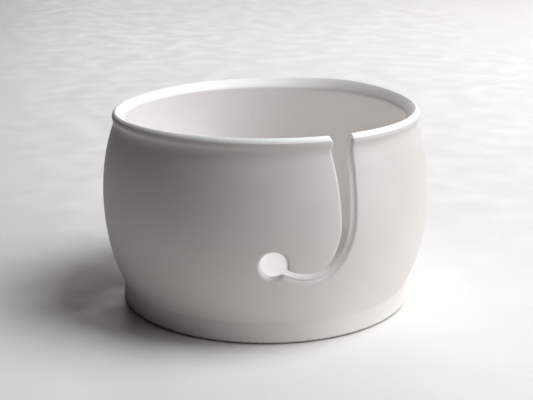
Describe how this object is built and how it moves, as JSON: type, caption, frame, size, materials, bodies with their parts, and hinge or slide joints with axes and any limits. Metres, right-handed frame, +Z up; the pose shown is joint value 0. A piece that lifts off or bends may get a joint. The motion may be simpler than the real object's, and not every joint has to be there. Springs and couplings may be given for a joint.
{
  "type": "yarn bowl",
  "caption": "Round bellied ceramic bowl with a beaded rim, a J-shaped slot cut down from the rim to a round yarn hole, a low foot band and anti-slip pads underneath.",
  "frame": {"origin": "on the table, under the bowl's axis", "axes": "+Z up out of the bowl's mouth; -Y through the straight leg of the J slot; the slot hooks round towards -X, where the yarn hole is"},
  "size_m": [0.15, 0.1499, 0.09],
  "materials": {
    "ceramic": "satin matte glaze, warm white",
    "elastomer": "satin, clear grey"
  },
  "bodies": {
    "root": {"bowl_body": "ceramic", "foot_pad_front_right": "elastomer", "foot_pad_rear_right": "elastomer", "foot_pad_rear_left": "elastomer", "foot_pad_front_left": "elastomer"}
  },
  "joints": []
}
